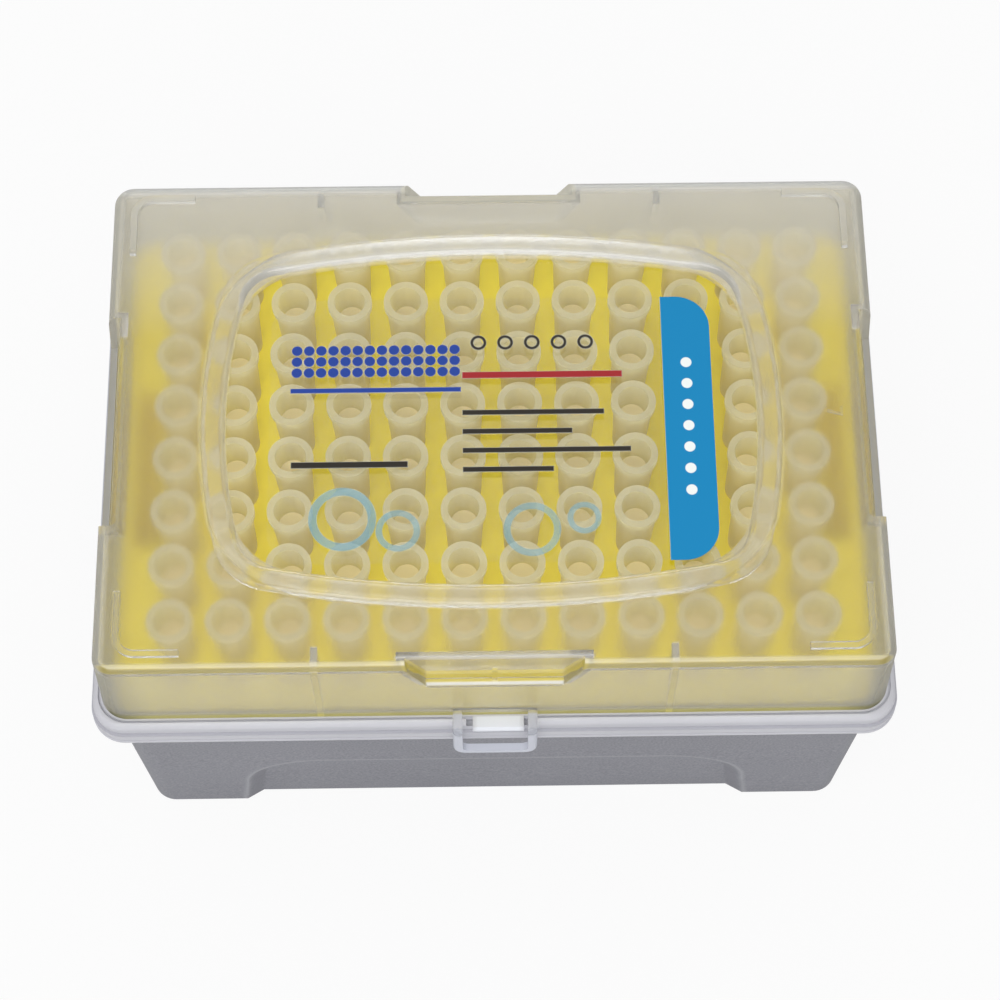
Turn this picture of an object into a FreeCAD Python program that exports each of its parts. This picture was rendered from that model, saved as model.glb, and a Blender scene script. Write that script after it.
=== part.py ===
"""Box of pipette tips: base, tip rack, hinged lid with latch, label, tips, filters.

Millimetres.  +Z is up, z = 0 is the plane the feet stand on.  x = y = 0 is the
middle of the 12 x 8 tip grid; the latch is on the -Y side, the hinge on +Y.
Every size is a cell of the sheet "Sizes" and reaches the features through
expressions.
"""
import os
import re

import FreeCAD
import Part
import Sketcher

Vector = FreeCAD.Vector
doc = FreeCAD.newDocument("TipBox")
sheet = doc.addObject("Spreadsheet::Sheet", "Sizes")

# ---------------------------------------------------------------- the sizes
SIZES = (
    # tip grid; the length and width of every other piece follow from it
    ("pitch", "9.0"),
    ("columns", "12"),
    ("rows", "8"),
    ("grid_half_x", "=( columns - 1 ) / 2 * pitch"),
    ("grid_half_y", "=( rows - 1 ) / 2 * pitch"),
    # outline of the rack's deck, and of the seat and cavity it drops into
    ("deck_margin_x", "9.9"),
    ("deck_margin_y", "8.95"),
    ("deck_half_x", "=grid_half_x + deck_margin_x"),
    ("deck_half_y", "=grid_half_y + deck_margin_y"),
    ("deck_corner", "3.5"),
    ("rack_gap", "0.4"),
    ("seat_half_x", "=deck_half_x + rack_gap"),
    ("seat_half_y", "=deck_half_y + rack_gap"),
    ("seat_corner", "3.8"),
    ("ledge_x", "1.2"),
    ("ledge_y", "1.25"),
    ("cavity_half_x", "=seat_half_x - ledge_x"),
    ("cavity_half_y", "=seat_half_y - ledge_y"),
    ("cavity_corner", "3.0"),
    # base: a drafted box with a wide hollow rim
    ("wall_over_seat_x", "1.1"),
    ("wall_over_seat_y", "1.35"),
    ("wall_half_x", "=seat_half_x + wall_over_seat_x"),
    ("wall_half_y", "=seat_half_y + wall_over_seat_y"),
    ("foot_inset", "1.0"),
    ("foot_half_x", "=wall_half_x - foot_inset"),
    ("foot_half_y", "=wall_half_y - foot_inset"),
    ("foot_corner", "4.0"),
    ("rim_top", "52.0"),
    ("rim_high", "5.5"),
    ("rim_under", "=rim_top - rim_high"),
    ("rim_reach_x", "2.5"),
    ("rim_reach_y", "2.4"),
    ("rim_half_x", "=wall_half_x + rim_reach_x"),
    ("rim_half_y", "=wall_half_y + rim_reach_y"),
    ("rim_corner", "5.2"),
    ("rim_step", "0.45"),
    ("rim_step_height", "2.85"),
    ("rim_round", "1.1"),
    ("rim_lip", "0.15"),
    ("rim_lip_height", "0.55"),
    ("rim_skin", "1.3"),
    ("rim_roof", "1.9"),
    ("bead_gap", "0.3"),
    ("bead_width", "0.35"),
    ("bead_depth", "0.45"),
    ("seat_deep", "2.5"),
    ("seat_height", "=rim_top - seat_deep"),
    ("floor_top", "3.2"),
    ("foot_recess", "1.5"),
    ("foot_wall_x", "2.2"),
    ("foot_wall_y", "1.85"),
    ("foot_inner_x", "=foot_half_x - foot_wall_x"),
    ("foot_inner_y", "=foot_half_y - foot_wall_y"),
    # shallow arch recess between the feet, front and rear
    ("arch_deep", "1.6"),
    ("arch_half_side", "42.2"),
    ("arch_flare", "1.5"),
    ("arch_half_foot", "=arch_half_side + arch_flare"),
    ("arch_top", "24.8"),
    ("arch_corner", "14.0"),
    ("arch_in", "2.8"),
    ("arch_wall", "1.6"),
    # outline of the lid, which stands on the rim
    ("lid_over_wall_x", "0.55"),
    ("lid_over_wall_y", "0.35"),
    ("lid_half_x", "=wall_half_x + lid_over_wall_x"),
    ("lid_half_y", "=wall_half_y + lid_over_wall_y"),
    # catch on the front rim, under the latch, with a small pit on both sides
    ("catch_x", "0.5"),
    ("catch_width", "8.0"),
    ("catch_proud", "0.4"),
    ("catch_reach", "=rim_half_y + catch_proud"),
    ("catch_root", "=lid_half_y + bead_gap"),
    ("catch_high", "1.0"),
    ("catch_under", "=rim_top - catch_high"),
    ("pit_width", "1.0"),
    ("pit_depth", "1.6"),
    ("pit_inset", "0.25"),
    ("pit_long", "1.0"),
    ("pit_near", "=catch_root + pit_inset"),
    ("pit_far", "=pit_near + pit_long"),
    # filter, and the tip that is bored to hold it
    ("filter_radius", "2.13"),
    ("filter_length", "4.0"),
    ("filter_gap", "0.07"),
    ("seat_radius", "=filter_radius + filter_gap"),
    ("mouth_flare", "0.25"),
    ("mouth_radius", "=seat_radius + mouth_flare"),
    ("filter_shelf", "0.45"),
    ("throat_radius", "=seat_radius - filter_shelf"),
    ("stem_wall", "0.45"),
    ("stem_radius", "=throat_radius + stem_wall"),
    ("hub_step", "0.5"),
    ("hub_foot_radius", "=stem_radius + hub_step"),
    ("hub_wall", "0.7"),
    ("hub_radius", "=mouth_radius + hub_wall"),
    ("collar_step", "0.4"),
    ("collar_radius", "=hub_radius + collar_step"),
    ("collar_height", "1.3"),
    ("point_radius", "0.5"),
    ("point_bore", "0.25"),
    # rack that carries the tips
    ("deck_thick", "1.5"),
    ("deck_top", "=seat_height + deck_thick"),
    ("lip_high", "1.6"),
    ("lip_top", "=deck_top + lip_high"),
    ("lip_wide", "0.8"),
    ("hole_gap", "0.25"),
    ("hole_radius", "=stem_radius + hole_gap"),
    ("apron_gap", "0.4"),
    ("apron_outer", "=cavity_half_x - apron_gap"),
    ("apron_deep", "13.0"),
    ("apron_low", "=deck_top - apron_deep"),
    ("apron_wall", "0.8"),
    ("scoop_skin", "0.65"),
    ("scoop_wide", "4.25"),
    ("scoop_outer", "=apron_outer - scoop_skin"),
    ("scoop_inner", "=scoop_outer - scoop_wide"),
    ("scoop_half", "13.7"),
    # heights along a tip that stands on the deck
    ("hub_high", "15.0"),
    ("tip_length", "51.0"),
    ("tip_top", "=deck_top + hub_high"),
    ("tip_end", "=tip_top - tip_length"),
    ("filter_down", "10.0"),
    ("filter_seat", "=tip_top - filter_down"),
    # lid: a drafted, thin-walled cover
    ("lid_over_tips", "5.0"),
    ("lid_top", "=tip_top + lid_over_tips"),
    ("lid_corner", "4.2"),
    ("lid_draft", "3.5"),
    ("lid_wall", "1.1"),
    ("lid_round", "1.5"),
    # notches in the top edge, front and rear, and pockets on both sides
    ("notch_deep", "6.5"),
    ("notch_floor", "=lid_top - notch_deep"),
    ("notch_half_top", "14.0"),
    ("notch_half_floor", "10.4"),
    ("front_notch_in", "3.15"),
    ("rear_notch_in", "3.65"),
    ("front_notch_back", "=lid_half_y - front_notch_in"),
    ("rear_notch_back", "=lid_half_y - rear_notch_in"),
    ("notch_edge", "0.9"),
    ("notch_rib", "0.8"),
    ("notch_rib_high", "0.9"),
    ("pocket_half_top", "18.0"),
    ("pocket_half_floor", "15.5"),
    ("pocket_in", "3.15"),
    ("pocket_back", "=lid_half_x - pocket_in"),
    # stacking ribs on the four top corners; the foot ring of a box above drops over them
    ("stack_gap_x", "0.9"),
    ("stack_gap_y", "0.85"),
    ("stack_x", "=foot_inner_x - stack_gap_x"),
    ("stack_y", "=foot_inner_y - stack_gap_y"),
    ("stack_long_x", "9.6"),
    ("stack_long_y", "9.9"),
    ("stack_end_x", "=stack_x - stack_long_x"),
    ("stack_end_y", "=stack_y - stack_long_y"),
    ("stack_corner", "3.0"),
    ("stack_wide", "1.0"),
    ("stack_high", "1.0"),
    # small raised digit on the right of the top
    ("digit_in", "3.4"),
    ("digit_x", "=stack_x - digit_in"),
    ("digit_tall", "2.4"),
    ("digit_wide", "1.5"),
    ("digit_stroke", "0.35"),
    ("digit_high", "0.2"),
    # bead round the clear window
    ("window_half_x", "43.25"),
    ("window_half_y", "29.9"),
    ("window_bow_long", "187.0"),
    ("window_bow_short", "87.0"),
    ("window_corner", "8.0"),
    ("window_bead", "3.8"),
    ("window_bead_high", "1.0"),
    # gusset ribs inside the front and rear walls
    ("gusset_x", "27.1"),
    ("gusset_thick", "1.0"),
    ("gusset_long", "5.25"),
    ("gusset_reach", "=lid_half_y - gusset_long"),
    ("gusset_up", "2.5"),
    ("gusset_low", "=rim_top + gusset_up"),
    # latch loop on the front of the lid, hung over the catch
    ("latch_gap", "0.3"),
    ("latch_thick", "1.2"),
    ("latch_outer", "=catch_reach + latch_gap + latch_thick"),
    ("latch_side_gap", "1.1"),
    ("latch_slot", "=catch_width + 2 * latch_side_gap"),
    ("latch_arm", "1.5"),
    ("latch_width", "=latch_slot + 2 * latch_arm"),
    ("latch_clear", "1.4"),
    ("latch_bridge", "1.4"),
    ("latch_drop", "8.2"),
    ("latch_root_under", "=rim_top + latch_clear"),
    ("latch_root_top", "=latch_root_under + latch_bridge"),
    ("latch_bottom", "=rim_top - latch_drop"),
    ("latch_bar", "1.7"),
    ("latch_corner", "2.2"),
    ("latch_inner_corner", "1.2"),
    ("latch_round", "1.0"),
    ("latch_edge", "0.8"),
    # hinge
    ("hinge_out", "2.75"),
    ("hinge_y", "=lid_half_y + hinge_out"),
    ("hinge_up", "2.2"),
    ("hinge_height", "=rim_top + hinge_up"),
    ("hinge_x", "26.0"),
    ("lug_width", "8.0"),
    ("pin_radius", "1.25"),
    ("lug_wall", "0.65"),
    ("lug_radius", "=pin_radius + lug_wall"),
    ("pin_gap", "0.05"),
    ("bore_radius", "=pin_radius + pin_gap"),
    ("ear_wall", "0.9"),
    ("ear_radius", "=bore_radius + ear_wall"),
    ("ear_width", "3.0"),
    ("ear_gap", "0.3"),
    ("ear_drop", "4.0"),
    ("ear_under", "=rim_top - ear_drop"),
    # label on the window
    ("label_gap_x", "6.85"),
    ("label_gap_y", "5.7"),
    ("label_half_x", "=window_half_x - window_bead / 2 - label_gap_x"),
    ("label_half_y", "=window_half_y - window_bead / 2 - label_gap_y"),
    ("label_corner", "5.3"),
    ("label_y", "-2.1"),
    ("label_thick", "0.12"),
)
for row, (alias, number) in enumerate(SIZES, start=1):
    sheet.set("A%d" % row, alias)
    sheet.set("B%d" % row, number)
    sheet.setAlias("B%d" % row, alias)
doc.recompute()
SIZE_NAMES = {alias for alias, _ in SIZES}


# ---------------------------------------------------------------- helpers
def bound(text):
    """Expression text with every size name led by the sheet's name."""
    def led(found):
        return "Sizes." + found[0] if found[0] in SIZE_NAMES else found[0]

    return re.sub(r"[a-z_]+", led, text)


def value(text):
    """Number an expression gives now."""
    return float(sheet.evalExpression(bound(text)))


def piece(name):
    body = doc.addObject("PartDesign::Body", name)
    body.Label = name
    return body


def datum(body, role):
    return [item for item in body.Origin.OriginFeatures if item.Role == role][0]


def sketch(body, name, role, offset="0 * pitch"):
    """Sketch on one of the body's own planes, moved along the plane's normal."""
    flat = body.newObject("Sketcher::SketchObject", name)
    flat.AttachmentSupport = (datum(body, role), [""])
    flat.MapMode = "FlatFace"
    flat.AttachmentOffset = FreeCAD.Placement(Vector(0, 0, 0), FreeCAD.Rotation(Vector(1, 0, 0), 0))
    flat.setExpression("AttachmentOffset.Base.z", bound(offset))
    return flat


def hold(flat, kind, geometry, point, text):
    """Distance of a point from the sketch origin, tied to an expression."""
    number = flat.addConstraint(Sketcher.Constraint(kind, -1, 1, geometry, point, value(text)))
    flat.renameConstraint(number, "size_%d" % number)
    flat.setExpression("Constraints.size_%d" % number, bound(text))


def arc_between(start, end, radius):
    """Arc from start to end; a positive radius turns left, a negative one right."""
    size = abs(radius)
    chord = end - start
    middle = (start + end) * 0.5
    rise = max(size * size - chord.Length * chord.Length / 4.0, 0.0) ** 0.5
    left = Vector(-chord.y, chord.x, 0).normalize()
    side = 1.0 if radius > 0 else -1.0
    centre = middle + left * (rise * side)
    circle = Part.Circle(centre, Vector(0, 0, 1), size)
    first, last = (start, end) if radius > 0 else (end, start)
    return Part.ArcOfCircle(circle, circle.parameter(first), circle.parameter(last))


def outline(flat, corners):
    """Closed chain of lines and arcs.

    Each corner is (x, y) or (x, y, radius, turn): the stretch that starts there
    is an arc of that radius, turning left (+1) or right (-1).
    """
    places = [Vector(value(item[0]), value(item[1]), 0) for item in corners]
    stretches = []
    for index, item in enumerate(corners):
        start = places[index]
        end = places[(index + 1) % len(places)]
        if len(item) == 2:
            number = flat.addGeometry(Part.LineSegment(start, end))
            stretches.append((number, 1, 2))
        else:
            number = flat.addGeometry(arc_between(start, end, item[3] * value(item[2])))
            ends = (1, 2) if item[3] > 0 else (2, 1)
            stretches.append((number,) + ends)
    for index, (number, first, last) in enumerate(stretches):
        following, entry, _ = stretches[(index + 1) % len(stretches)]
        flat.addConstraint(Sketcher.Constraint("Coincident", number, last, following, entry))
        hold(flat, "DistanceX", number, first, corners[index][0])
        hold(flat, "DistanceY", number, first, corners[index][1])
        if len(corners[index]) > 2:
            radius = corners[index][2]
            tie = flat.addConstraint(Sketcher.Constraint("Radius", number, value(radius)))
            flat.renameConstraint(tie, "radius_%d" % tie)
            flat.setExpression("Constraints.radius_%d" % tie, bound(radius))


def rounded(flat, half_x, half_y, corner, middle_y="0 * pitch"):
    """Rectangle with round corners, centred on x = 0 and y = middle_y."""
    across = "( %s ) - ( %s )" % (half_x, corner)
    along = "( %s ) - ( %s )" % (half_y, corner)
    low = "( %s ) - " % middle_y
    high = "( %s ) + " % middle_y
    outline(flat, (
        ("0 - ( %s )" % across, low + "( %s )" % half_y),
        (across, low + "( %s )" % half_y, corner, 1),
        (half_x, low + "( %s )" % along),
        (half_x, high + "( %s )" % along, corner, 1),
        (across, high + "( %s )" % half_y),
        ("0 - ( %s )" % across, high + "( %s )" % half_y, corner, 1),
        ("0 - ( %s )" % half_x, high + "( %s )" % along),
        ("0 - ( %s )" % half_x, low + "( %s )" % along, corner, 1),
    ))


def circle(flat, x_text, y_text, radius):
    middle = Vector(value(x_text), value(y_text), 0)
    number = flat.addGeometry(Part.Circle(middle, Vector(0, 0, 1), value(radius)))
    hold(flat, "DistanceX", number, 3, x_text)
    hold(flat, "DistanceY", number, 3, y_text)
    tie = flat.addConstraint(Sketcher.Constraint("Radius", number, value(radius)))
    flat.renameConstraint(tie, "radius_%d" % tie)
    flat.setExpression("Constraints.radius_%d" % tie, bound(radius))


def feature(body, kind, name, profile, length, taper=None, midplane=False, reverse=False):
    """Pad or Pocket whose length comes from the sheet; it must change the volume."""
    before = body.Shape.Volume if body.Tip else 0.0
    made = body.newObject("PartDesign::" + kind, name)
    made.Profile = profile
    made.Midplane = midplane
    made.Reversed = reverse
    made.setExpression("Length", bound(length))
    if taper:
        made.setExpression("TaperAngle", bound(taper))
    doc.recompute()
    profile.Visibility = False
    change = body.Shape.Volume - before
    if (kind == "Pad" and change <= 0.0) or (kind == "Pocket" and change >= 0.0):
        raise RuntimeError("%s %s did nothing: %.3f" % (body.Name, name, change))
    return made


def round_edges(body, name, base, radius, wanted):
    """Fillet the edges of the feature that the test picks by their middle point."""
    picked = []
    for index, edge in enumerate(base.Shape.Edges, start=1):
        box = edge.BoundBox
        if wanted(box):
            picked.append("Edge%d" % index)
    made = body.newObject("PartDesign::Fillet", name)
    made.Base = (base, picked)
    made.setExpression("Radius", bound(radius))
    doc.recompute()
    return made


# ---------------------------------------------------------------- the base
base = piece("base")
FLAT = "0 * pitch"
DRAFT = "atan( foot_inset / rim_under )"

flat = sketch(base, "foot_outline", "XY_Plane")
rounded(flat, "foot_half_x", "foot_half_y", "foot_corner")
feature(base, "Pad", "walls", flat, "rim_under", taper=DRAFT)

flat = sketch(base, "rim_outline", "XY_Plane", "rim_under")
rounded(flat, "rim_half_x", "rim_half_y", "rim_corner")
feature(base, "Pad", "rim_band", flat, "rim_step_height")

flat = sketch(base, "rim_lip_outline", "XY_Plane", "rim_under")
rounded(flat, "rim_half_x + rim_lip", "rim_half_y + rim_lip", "rim_corner + rim_lip")
feature(base, "Pad", "rim_lip_band", flat, "rim_lip_height")

flat = sketch(base, "rim_shoulder_outline", "XY_Plane", "rim_under")
rounded(flat, "rim_half_x - rim_step", "rim_half_y - rim_step", "rim_corner - rim_step")
shoulder = feature(base, "Pad", "rim_shoulder", flat, "rim_top - rim_under")
top_level = value("rim_top")
round_edges(base, "rim_shoulder_round", shoulder, "rim_round",
            lambda box: box.ZMin > top_level - 0.01)

# fine groove between the flat the lid stands on and the rounded shoulder
flat = sketch(base, "rim_groove_outline", "XY_Plane", "rim_top")
rounded(flat, "lid_half_x + bead_gap", "lid_half_y + bead_gap", "lid_corner + bead_gap")
rounded(flat, "lid_half_x + bead_gap + bead_width", "lid_half_y + bead_gap + bead_width",
        "lid_corner + bead_gap + bead_width")
feature(base, "Pocket", "rim_groove", flat, "bead_depth")

# the rim is hollow and open from below
flat = sketch(base, "rim_channel_outline", "XY_Plane", "rim_under")
rounded(flat, "rim_half_x - rim_skin", "rim_half_y - rim_skin", "rim_corner - rim_skin")
rounded(flat, "wall_half_x", "wall_half_y", "foot_corner + foot_inset")
feature(base, "Pocket", "rim_channel", flat, "rim_top - rim_under - rim_roof", reverse=True)

# inside: seat for the rack, then the cavity the tips hang in
flat = sketch(base, "seat_outline", "XY_Plane", "rim_top")
rounded(flat, "seat_half_x", "seat_half_y", "seat_corner")
feature(base, "Pocket", "rack_seat", flat, "rim_top - seat_height")

flat = sketch(base, "cavity_outline", "XY_Plane", "seat_height")
rounded(flat, "cavity_half_x", "cavity_half_y", "cavity_corner")
feature(base, "Pocket", "cavity", flat, "seat_height - floor_top")

# below: a foot ring that drops over the stacking ribs of the lid underneath
flat = sketch(base, "foot_ring_outline", "XY_Plane")
rounded(flat, "foot_inner_x", "foot_inner_y", "cavity_corner")
feature(base, "Pocket", "foot_ring", flat, "foot_recess", reverse=True)

# front and rear: the wall jogs inwards behind a shallow arch
BACK = "foot_half_y - arch_deep - arch_wall"
for side, word in ((1, "front"), (-1, "rear")):
    # the sketch plane's normal is -Y, so a positive offset is the front side
    sign = "" if side > 0 else "0 - "
    flat = sketch(base, word + "_backing_outline", "XZ_Plane", sign + "( %s )" % BACK)
    outline(flat, (
        ("0 - ( arch_half_foot + arch_wall )", FLAT),
        ("arch_half_foot + arch_wall", FLAT),
        ("arch_half_side + arch_wall", "arch_top - arch_corner"),
        ("arch_half_side + arch_wall", "arch_top + arch_wall"),
        ("0 - ( arch_half_side + arch_wall )", "arch_top + arch_wall"),
        ("0 - ( arch_half_side + arch_wall )", "arch_top - arch_corner"),
    ))
    feature(base, "Pad", word + "_backing", flat, "arch_deep + arch_wall * 0.6", reverse=side < 0)

    # cut by a loft: the recess floor, then the same arch wider and further out
    layers = []
    for mark, layer in (("floor", "0"), ("outside", "2.5")):
        place = sign + "( foot_half_y - arch_deep + arch_deep * %s )" % layer
        grow = "arch_in * ( %s - 1 )" % layer
        flat = sketch(base, "%s_arch_%s" % (word, mark), "XZ_Plane", place)
        lean = FreeCAD.Rotation(Vector(1, 0, 0), side * 1.0)
        flat.AttachmentOffset = FreeCAD.Placement(Vector(0, 0, 0), lean)
        flat.setExpression("AttachmentOffset.Base.z", bound(place))
        flat.setExpression("AttachmentOffset.Rotation.Angle", bound(DRAFT))
        outline(flat, (
            ("0 - ( arch_half_foot + %s )" % grow, "0 - floor_top"),
            ("arch_half_foot + " + grow, "0 - floor_top"),
            ("arch_half_side + " + grow, "arch_top - arch_corner", "arch_corner + " + grow, 1),
            ("arch_half_side - arch_corner", "arch_top + " + grow),
            ("0 - ( arch_half_side - arch_corner )", "arch_top + " + grow, "arch_corner + " + grow, 1),
            ("0 - ( arch_half_side + %s )" % grow, "arch_top - arch_corner"),
        ))
        layers.append(flat)
    before = base.Shape.Volume
    cut = base.newObject("PartDesign::SubtractiveLoft", word + "_arch")
    cut.Profile = layers[0]
    cut.Sections = [layers[1]]
    cut.Ruled = True
    doc.recompute()
    if base.Shape.Volume >= before:
        raise RuntimeError(word + " arch cut nothing")

# catch for the latch: a block that fills the shoulder at the middle of the front
flat = sketch(base, "catch_profile", "YZ_Plane", "catch_x")
outline(flat, (
    ("0 - catch_root", "rim_top"),
    ("0 - ( catch_reach - 0.4 )", "rim_top"),
    ("0 - catch_reach", "rim_top - 0.4"),
    ("0 - catch_reach", "catch_under"),
    ("0 - ( rim_half_y - rim_step - 0.3 )", "catch_under - 0.6"),
    ("0 - catch_root", "catch_under - 0.6"),
))
feature(base, "Pad", "catch", flat, "catch_width", midplane=True)
flat = sketch(base, "pit_outline", "XY_Plane", "rim_top")
for near, far in (("0 - catch_width / 2 - pit_width", "0 - catch_width / 2"),
                  ("catch_width / 2", "catch_width / 2 + pit_width")):
    outline(flat, (
        ("catch_x + ( %s )" % near, "0 - pit_far"),
        ("catch_x + ( %s )" % far, "0 - pit_far"),
        ("catch_x + ( %s )" % far, "0 - pit_near"),
        ("catch_x + ( %s )" % near, "0 - pit_near"),
    ))
feature(base, "Pocket", "catch_pits", flat, "pit_depth")

# hinge ears: two on each side of both lid lugs
EAR_X = "lug_width / 2 + ear_gap + ear_width / 2"
for number, (side, place) in enumerate(((1, 1), (1, -1), (-1, 1), (-1, -1)), start=1):
    middle = "hinge_x %s ( %s )" % ("+" if place > 0 else "-", EAR_X)
    if side < 0:
        middle = "0 - ( %s )" % middle
    flat = sketch(base, "ear_%d_profile" % number, "YZ_Plane", middle)
    outline(flat, (
        ("hinge_y + ear_radius", "hinge_height", "ear_radius", 1),
        ("hinge_y", "hinge_height + ear_radius", "ear_radius", 1),
        ("hinge_y - ear_radius", "hinge_height"),
        ("hinge_y - ear_radius", "rim_top - 0.5"),
        ("rim_half_y - 0.8", "ear_under"),
        ("rim_half_y + 0.1", "ear_under"),
        ("hinge_y + ear_radius", "hinge_height - 2"),
    ))
    circle(flat, "hinge_y", "hinge_height", "bore_radius")
    feature(base, "Pad", "ear_%d" % number, flat, "ear_width", midplane=True)

# ---------------------------------------------------------------- the rack
rack = piece("rack")
flat = sketch(rack, "deck_outline", "XY_Plane", "seat_height")
rounded(flat, "deck_half_x", "deck_half_y", "deck_corner")
feature(rack, "Pad", "deck", flat, "lip_top - seat_height")

flat = sketch(rack, "tray_outline", "XY_Plane", "lip_top")
rounded(flat, "deck_half_x - lip_wide", "deck_half_y - lip_wide", "deck_corner - lip_wide")
feature(rack, "Pocket", "tray", flat, "lip_top - deck_top")

# finger scoops: a deep pocket along each side, its walls and floor hanging below the deck
for side, word in ((1, "right"), (-1, "left")):
    sign = "" if side > 0 else "0 - "
    steps = (
        ("apron", "Pad", "scoop_inner - apron_wall", "apron_outer", "scoop_half + apron_wall",
         "deck_top - apron_low"),
        ("scoop", "Pocket", "scoop_inner", "scoop_outer", "scoop_half",
         "deck_top - apron_low - apron_wall"),
    )
    for mark, kind, near, far, half, deep in steps:
        flat = sketch(rack, "%s_%s_outline" % (word, mark), "XY_Plane", "deck_top")
        ends = [sign + "( %s )" % near, sign + "( %s )" % far]
        if side < 0:
            ends.reverse()
        outline(flat, (
            (ends[0], "0 - ( %s )" % half),
            (ends[1], "0 - ( %s )" % half),
            (ends[1], half),
            (ends[0], half),
        ))
        feature(rack, kind, "%s_%s" % (word, mark), flat, deep, reverse=kind == "Pad")

# one hole, then a row of twelve, then eight rows
flat = sketch(rack, "hole_outline", "XY_Plane", "deck_top")
circle(flat, "0 - ( columns - 1 ) / 2 * pitch", "0 - ( rows - 1 ) / 2 * pitch", "hole_radius")
hole = feature(rack, "Pocket", "hole", flat, "deck_top - seat_height")
grid = rack.newObject("PartDesign::MultiTransform", "hole_grid")
grid.Originals = [hole]
steps = []
for name, axis, count in (("hole_columns", "X_Axis", "columns"), ("hole_rows", "Y_Axis", "rows")):
    step = rack.newObject("PartDesign::LinearPattern", name)
    step.Direction = (datum(rack, axis), [""])
    step.setExpression("Length", bound("( %s - 1 ) * pitch" % count))
    step.setExpression("Occurrences", bound(count))
    steps.append(step)
grid.Transformations = steps
rack.Tip = grid
doc.recompute()

# ---------------------------------------------------------------- tips and filters
ROW = "0 - ( rows - 1 ) / 2 * pitch"
for column in range(int(value("columns"))):
    place = "( %d - ( columns - 1 ) / 2 ) * pitch" % column

    tips = piece("tips_column_%02d" % (column + 1))
    tips.setExpression("Placement.Base.x", bound(place))
    tips.setExpression("Placement.Base.y", bound(ROW))
    flat = sketch(tips, tips.Name + "_profile", "XZ_Plane")
    outline(flat, (
        ("point_bore", "tip_end"),
        ("point_radius", "tip_end"),
        ("stem_radius", "deck_top"),
        ("hub_foot_radius", "deck_top"),
        ("hub_radius", "tip_top - collar_height"),
        ("collar_radius", "tip_top - collar_height"),
        ("collar_radius", "tip_top"),
        ("mouth_radius", "tip_top"),
        ("seat_radius", "filter_seat"),
        ("throat_radius", "filter_seat"),
    ))
    turn = tips.newObject("PartDesign::Revolution", tips.Name + "_turn")
    turn.Profile = flat
    turn.ReferenceAxis = (flat, ["V_Axis"])
    turn.Angle = 360
    line = tips.newObject("PartDesign::LinearPattern", tips.Name + "_rows")
    line.Originals = [turn]
    line.Direction = (datum(tips, "Y_Axis"), [""])
    line.setExpression("Length", bound("( rows - 1 ) * pitch"))
    line.setExpression("Occurrences", bound("rows"))
    tips.Tip = line

    plugs = piece("filters_column_%02d" % (column + 1))
    plugs.setExpression("Placement.Base.x", bound(place))
    plugs.setExpression("Placement.Base.y", bound(ROW))
    flat = sketch(plugs, plugs.Name + "_outline", "XY_Plane", "filter_seat")
    circle(flat, FLAT, FLAT, "filter_radius")
    slug = feature(plugs, "Pad", plugs.Name + "_slug", flat, "filter_length")
    line = plugs.newObject("PartDesign::LinearPattern", plugs.Name + "_rows")
    line.Originals = [slug]
    line.Direction = (datum(plugs, "Y_Axis"), [""])
    line.setExpression("Length", bound("( rows - 1 ) * pitch"))
    line.setExpression("Occurrences", bound("rows"))
    plugs.Tip = line
doc.recompute()

# ---------------------------------------------------------------- the lid
lid = piece("lid")
flat = sketch(lid, "lid_outline", "XY_Plane", "rim_top")
rounded(flat, "lid_half_x", "lid_half_y", "lid_corner")
shell = feature(lid, "Pad", "cover", flat, "lid_top - rim_top", taper="0 - lid_draft")
crown = value("lid_top")
round_edges(lid, "cover_round", shell, "lid_round", lambda box: box.ZMin > crown - 0.01)

flat = sketch(lid, "hollow_outline", "XY_Plane", "rim_top")
rounded(flat, "lid_half_x - lid_wall", "lid_half_y - lid_wall", "lid_corner - lid_wall")
feature(lid, "Pocket", "hollow", flat, "lid_top - lid_wall - rim_top", taper="0 - lid_draft",
        reverse=True)


def trapezoid(flat, half_top, half_low, low, high, grow):
    """Outline of a notch in elevation; grow adds the wall behind it."""
    outline(flat, (
        ("0 - ( %s + %s )" % (half_low, grow), "%s - %s" % (low, grow)),
        ("%s + %s" % (half_low, grow), "%s - %s" % (low, grow)),
        ("%s + %s" % (half_top, grow), high),
        ("0 - ( %s + %s )" % (half_top, grow), high),
    ))


# each notch: first the wall behind it, then the cut from outside
RECESSES = (
    ("front", "XZ_Plane", 1, "notch_half_top", "notch_half_floor", "front_notch_back", "lid_half_y"),
    ("rear", "XZ_Plane", -1, "notch_half_top", "notch_half_floor", "rear_notch_back", "lid_half_y"),
    ("right", "YZ_Plane", 1, "pocket_half_top", "pocket_half_floor", "pocket_back", "lid_half_x"),
    ("left", "YZ_Plane", -1, "pocket_half_top", "pocket_half_floor", "pocket_back", "lid_half_x"),
)
for word, role, side, half_top, half_low, back, outside in RECESSES:
    sign = "" if side > 0 else "0 - "
    flat = sketch(lid, word + "_jog_outline", role, sign + "( %s - lid_wall )" % back)
    trapezoid(flat, half_top, half_low, "notch_floor", "lid_top - lid_wall / 2", "lid_wall")
    feature(lid, "Pad", word + "_jog", flat, "%s + lid_wall - %s - 2" % (outside, back), reverse=side < 0)
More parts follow.
